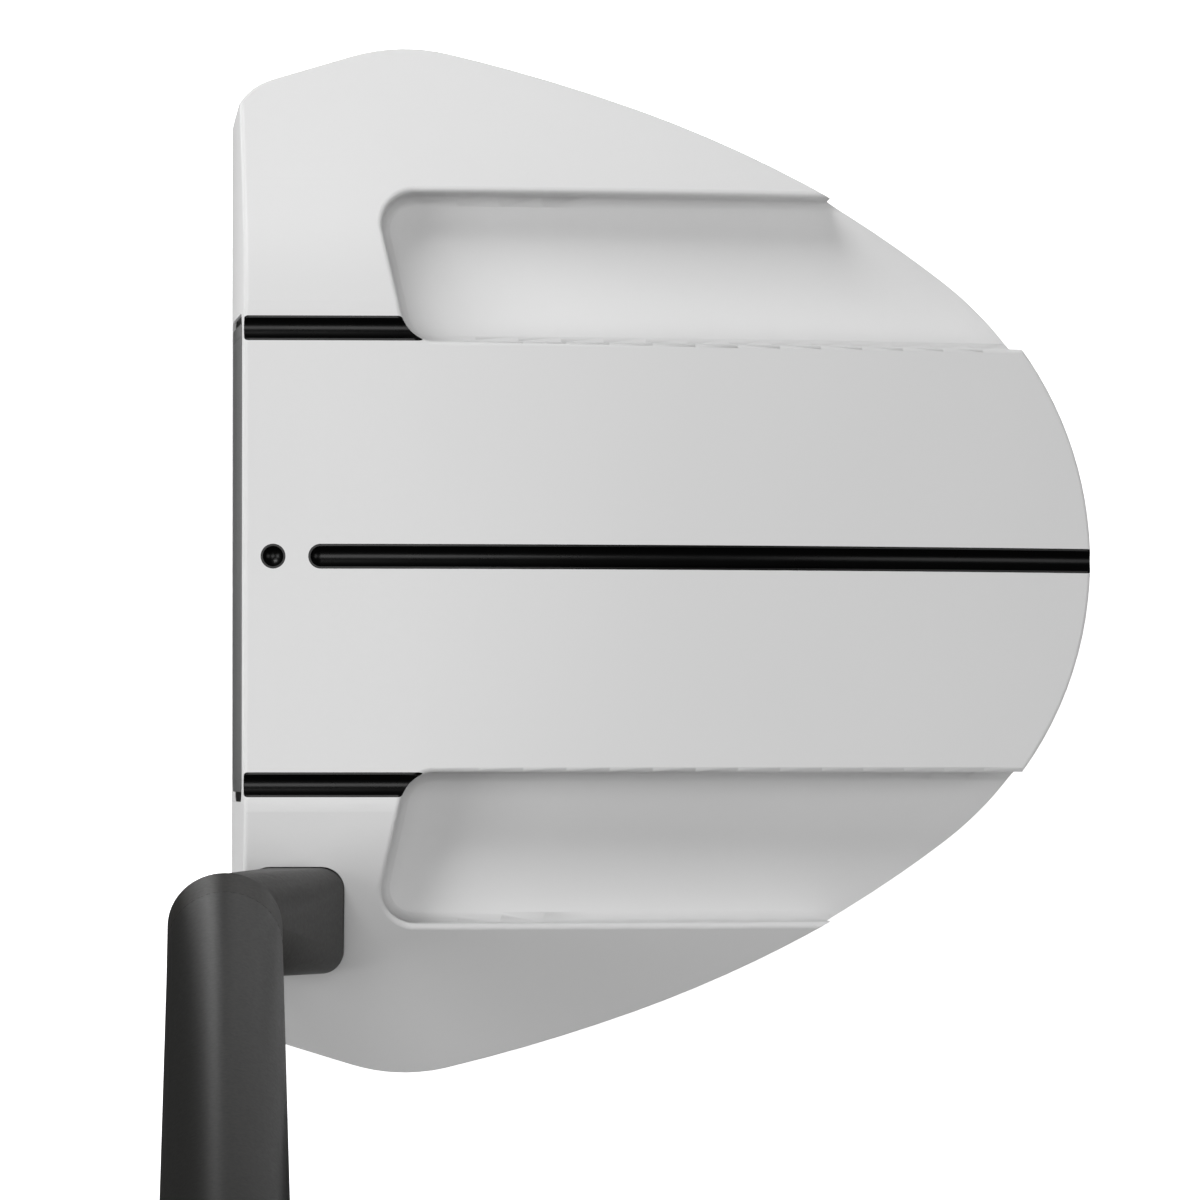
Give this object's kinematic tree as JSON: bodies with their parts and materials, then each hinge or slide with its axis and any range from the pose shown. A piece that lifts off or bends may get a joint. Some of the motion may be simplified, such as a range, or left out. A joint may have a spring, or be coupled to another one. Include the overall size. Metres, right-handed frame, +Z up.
{
  "type": "mallet putter",
  "caption": "Wide-bodied golf putter: white pocketed head with black sight lines and a dark face insert, slanted neck, black shaft and rubber grip.",
  "frame": {"origin": "on the ground under the middle of the head, in the flat face of the sole plate, with the club at address", "axes": "+X from the striking face to the rear of the head, +Y from heel to toe, +Z up; the shaft leans towards -Y as it rises"},
  "size_m": [0.1014, 0.3896, 0.8383],
  "materials": {
    "white_coat": "satin",
    "sole_steel": "satin",
    "screw_steel": "satin",
    "weight_steel": "satin",
    "gasket_film": "matte",
    "ring_rubber": "matte",
    "insert_polymer": "satin",
    "backing_polymer": "matte",
    "frame_polymer": "satin",
    "bond_film": "matte",
    "line_paint": "gloss",
    "neck_black": "satin",
    "shaft_black": "satin",
    "grip_tape": "matte",
    "grip_core": "matte",
    "grip_skin": "matte",
    "grip_cap": "satin"
  },
  "bodies": {
    "root": {"head_body": "white_coat", "sole_plate": "sole_steel", "sole_gasket": "gasket_film", "toe_weight": "weight_steel", "heel_weight": "weight_steel", "toe_weight_ring": "ring_rubber", "heel_weight_ring": "ring_rubber", "face_insert": "insert_polymer", "insert_backing": "backing_polymer", "insert_frame": "frame_polymer", "insert_tape": "bond_film", "sight_line_centre": "line_paint", "sight_line_toe": "line_paint", "sight_line_heel": "line_paint", "sight_dot": "line_paint", "neck": "neck_black", "neck_bond": "bond_film", "neck_washer": "screw_steel", "neck_screw": "screw_steel", "shaft": "shaft_black", "shaft_bond": "bond_film", "grip_tape": "grip_tape", "grip_core": "grip_core", "grip_skin": "grip_skin", "grip_cap": "grip_cap", "sole_screw_1": "screw_steel", "sole_screw_2": "screw_steel", "sole_screw_3": "screw_steel", "sole_screw_4": "screw_steel", "sole_screw_5": "screw_steel", "sole_screw_6": "screw_steel"}
  },
  "joints": []
}
